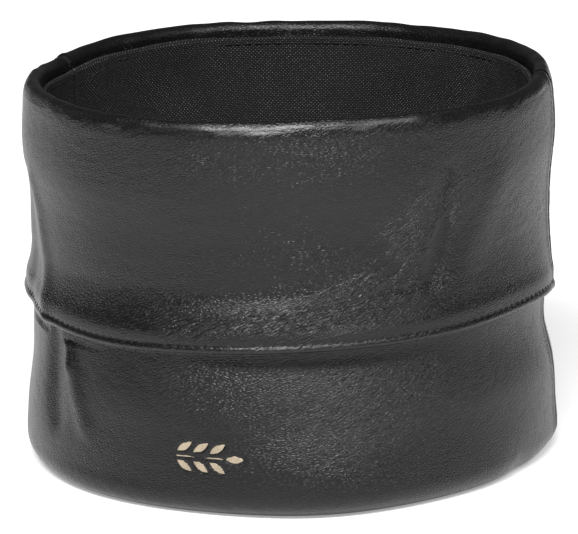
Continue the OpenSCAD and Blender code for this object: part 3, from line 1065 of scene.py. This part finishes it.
def board_material():
    """Grey board with pressed paper fibres."""
    material, tree = new_material("grey_board")
    place_at = add(tree, "TexCoord").outputs["Object"]
    fibre = add(tree, "TexNoise", {"Vector": place_at, "Scale": 700.0, "Detail": 6.0, "Distortion": 1.5})
    fibre = fibre.outputs["Fac"]
    mixed = times(tree, fibre, ranged(tree, noise(tree, place_at, 90.0, 4.0), 0.3, 0.7, 0.8, 1.15))
    colour = grey_ramp(tree, mixed, [(0.3, (0.14, 0.12, 0.09)), (0.7, (0.36, 0.31, 0.24))])
    surface(tree, colour, 0.9, bumped(tree, fibre, 0.0001, 0.5))
    return material


def foil_material():
    """Pale gold foil pressed onto grain, a little rubbed."""
    material, tree = new_material("pale_gold_foil")
    place_at = add(tree, "TexCoord").outputs["Object"]
    cells = add(tree, "TexVoronoi", {"Vector": place_at, "Scale": 1000.0}, feature="DISTANCE_TO_EDGE")
    speck = ranged(tree, noise(tree, place_at, 1500.0, 3.0), 0.3, 0.7, 0.0, 0.5)
    cloud = ranged(tree, noise(tree, place_at, 160.0, 2.0), 0.3, 0.7, 0.0, 0.5)
    colour = grey_ramp(tree, plus(tree, speck, cloud),
                       [(0.0, (0.25, 0.205, 0.145)), (1.0, (0.37, 0.305, 0.22))])
    normal = bumped(tree, cells.outputs["Distance"], 0.00005, 0.5)
    surface(tree, colour, 0.42, normal, Metallic=0.35)
    return material


# -------------------- build

LEATHER_MAT = leather_material()
CANVAS_MAT = canvas_material()
THREAD_MAT = thread_material()


def paint(made, material):
    made.data.materials.clear()
    made.data.materials.append(material)


def dress(made, material, slot, *nodes):
    """Gives a piece its material and body, and hides the CAD nodes that it stands for; slot is not used.
    """
    paint(made, material)
    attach(made, "root")
    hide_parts(*nodes)
    return made


def sew(made, node):
    return dress(made, THREAD_MAT, "thread", node)


def mark_leather(made, on_cuff):
    """Values that the leather's material reads: wear on edges, and creases with their direction."""
    phi, r, z = point_polar(made)
    outer = r > WALL_R + (1.0 if on_cuff else -2.0)
    if on_cuff:
        edge = smooth(z, RIM_Z - 9, RIM_Z - 5) + 0.8 * smooth(HEM_Z + 3.5 - z, 0, 1.5)
        crease = crease_mask(phi, z) + hem_crease_mask(phi, z) + 0.12 * (z < BEND_Z)
        angle = 24.0
    else:
        edge = bell(z - 2, 2.0)
        crease = body_crease_mask(phi, z) * 0.5 + 0.08
        angle = 25.0
    keep_value(made, "wear", np.clip(edge, 0, 1) * outer)
    keep_value(made, "crease", np.clip(crease, 0, 1) * outer)
    keep_vector(made, "flow", crease_flow(phi, z, angle))


def crease_flow(phi, z, angle):
    """Places for the creases' noise, which is long along its direction and short across it."""
    long, short = 7.0, 1.1
    s = np.radians(phi) * CUFF_R
    c, d = cos_sin(angle)
    return np.stack([(s * c + z * d) / long, (z * c - s * d) / short, np.zeros_like(s)], 1)


def build_cuff(half):
    phis = columns(SPANS[half], HEM_STITCHES[half] * 6)
    made = sweep("cuff_facing_" + half, facing_rows(), phis, cuff_relief)
    mark_leather(made, True)
    return dress(made, LEATHER_MAT, "facing_leather", "facing_" + half)


def body_columns(half):
    """Directions for a body panel, closer together at the sprig, in a number that 6 divides."""
    start, end = SPANS[half]
    width = 0.95
    count = 6 * round(math.radians(end - start) * BODY_R / width / 6)
    phis = columns(SPANS[half], count)
    if half == "front":
        reach = 8.6
        phis = denser(phis, MARK_PHI - reach, MARK_PHI + reach, 2)
        spare = (len(phis) - 1) % 6
        phis = denser(phis, phis[-60], phis[-60 + (6 - spare) % 6], 2) if spare else phis
    return phis


def build_body(half):
    made = sweep("body_panel_" + half, panel_rows(), body_columns(half), body_relief)
    mark_leather(made, False)
    return dress(made, LEATHER_MAT, "panel_leather", "outer_panel_" + half)


def build_lining(half):
    start, end = SPANS[half]
    count = 4 * round(math.radians(end - start) * WALL_R / 4)
    made = sweep("lining_canvas_" + half, lining_rows(), columns(SPANS[half], count), lining_relief)
    dress(made, CANVAS_MAT, "canvas", "lining_" + half)
    return made


def build_base():
    dress(base_leather_piece(), LEATHER_MAT, "panel_leather", "base_leather")
    floor = dress(lining_base_piece(), CANVAS_MAT, "canvas", "lining_base")


def build_round_stitches():
    sew(hem_stitches(), "hem_topstitch")
    sew(rim_stitches(), "rim_stitching")
    on_floor = base_ring("lining_floor_thread", FLOOR_R - 0.6, FLOOR_HI + 0.15, FLOOR_STITCHES, False)
    sew(on_floor, "lining_base_thread")
    lip_r = SEAM_BASE_R - LEATHER - 0.1
    on_lip = base_ring("base_edge_thread", lip_r, FLOOR_LO - 1.05, BASE_STITCHES, True)
    sew(on_lip, "base_seam_thread")


def build_seams(side, phi):
    body = wall_seam_stitches("body_seam_" + side, phi, 0.65, 125, False)
    sew(body, "body_seam_thread_" + side)
    lining = wall_seam_stitches("lining_seam_" + side, phi, WALL_R - FACE_R - 0.1, 126, True)
    sew(lining, "lining_seam_thread_" + side)
    cuff = rim_seam_stitches("cuff_seam_" + side, phi)
    sew(cuff, "facing_seam_thread_" + side)


def build():
    for half in ("front", "rear"):
        build_cuff(half)
        build_body(half)
        build_lining(half)
    build_base()
    dress(sprig_piece(), foil_material(), "foil", "foil_mark")
    build_round_stitches()
    build_seams("left", SEAM_L)
    build_seams("right", SEAM_R)
    paint(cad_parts["base_board"], board_material())


build()


# -------------------- floor, light and camera

def floor_material():
    """White floor: it takes the shadow, and shows the camera and reflections a white ground."""
    material, tree = new_material("white_floor")
    paths = add(tree, "LightPath")
    seen = math_node(tree, "MAXIMUM", paths.outputs["Is Camera Ray"], paths.outputs["Is Glossy Ray"])
    seen = math_node(tree, "MAXIMUM", seen, paths.outputs["Is Transmission Ray"])
    diffuse = add(tree, "BsdfDiffuse", {"Color": (0.8, 0.8, 0.8, 1)})
    place_at = add(tree, "TexCoord").outputs["Object"]
    away = add(tree, "VectorMath", {0: place_at}, operation="LENGTH").outputs["Value"]
    white = ranged(tree, away, 0.2, 1.0, 0.35, 0.85)
    glow = add(tree, "Emission", {"Color": (1, 1, 1, 1), "Strength": times(tree, seen, white)})
    both = add(tree, "AddShader", {0: diffuse.outputs[0], 1: glow.outputs[0]})
    finish_material(tree, both)
    return material


def make_floor():
    bpy.ops.mesh.primitive_circle_add(vertices=96, radius=4.0, fill_type="NGON", location=(0, 0, 0))
    floor = bpy.context.object
    floor.name = "floor"
    floor.data.materials.append(floor_material())


def make_light(name, at, aim, size, power):
    data = bpy.data.lights.new(name, "AREA")
    data.shape = "RECTANGLE"
    data.size, data.size_y = size
    data.energy = power
    lamp = bpy.data.objects.new(name, data)
    link(lamp)
    lamp.location = at
    lamp.rotation_mode = "QUATERNION"
    lamp.rotation_quaternion = (Vector(aim) - Vector(at)).to_track_quat("-Z", "Y")
    return lamp


def make_world(level):
    world = bpy.data.worlds.new("studio")
    bpy.context.scene.world = world
    world.use_nodes = True
    tree = world.node_tree
    tree.nodes.clear()
    background = add(tree, "Background", {"Color": (1, 1, 1, 1), "Strength": level})
    out = add(tree, "OutputWorld")
    tree.links.new(background.outputs[0], out.inputs["Surface"])


def make_camera():
    """A long lens from the front, 14 degrees above the horizon, turned slightly about its own axis."""
    data = bpy.data.cameras.new("camera")
    data.lens = 250
    data.sensor_width = 36
    data.clip_start, data.clip_end = 0.05, 50
    camera = bpy.data.objects.new("camera", data)
    link(camera)
    elevation, distance, roll = math.radians(14.2), 1.5, math.radians(1.2)
    aim = Vector((0, 0, 0.0671))
    back = Vector((0, -math.cos(elevation), math.sin(elevation)))
    camera.location = aim + back * distance
    camera.rotation_mode = "QUATERNION"
    camera.rotation_quaternion = Quaternion(-back, roll) @ (-back).to_track_quat("-Z", "Y")
    bpy.context.scene.camera = camera


make_floor()
CENTRE = (0, 0, 0.07)
# Softboxes: where each stands, what it points at, its width and height, and its watts.
make_light("front_softbox", (-0.16, -0.96, 1.08), CENTRE, (1.0, 0.4), 36)
make_light("left_softbox", (-0.78, -0.60, 1.08), CENTRE, (0.6, 0.35), 2)
make_light("right_softbox", (0.75, -0.75, 1.0), CENTRE, (0.7, 0.3), 7)
make_world(0.12)
make_camera()
bpy.context.scene.view_settings.view_transform = "Standard"
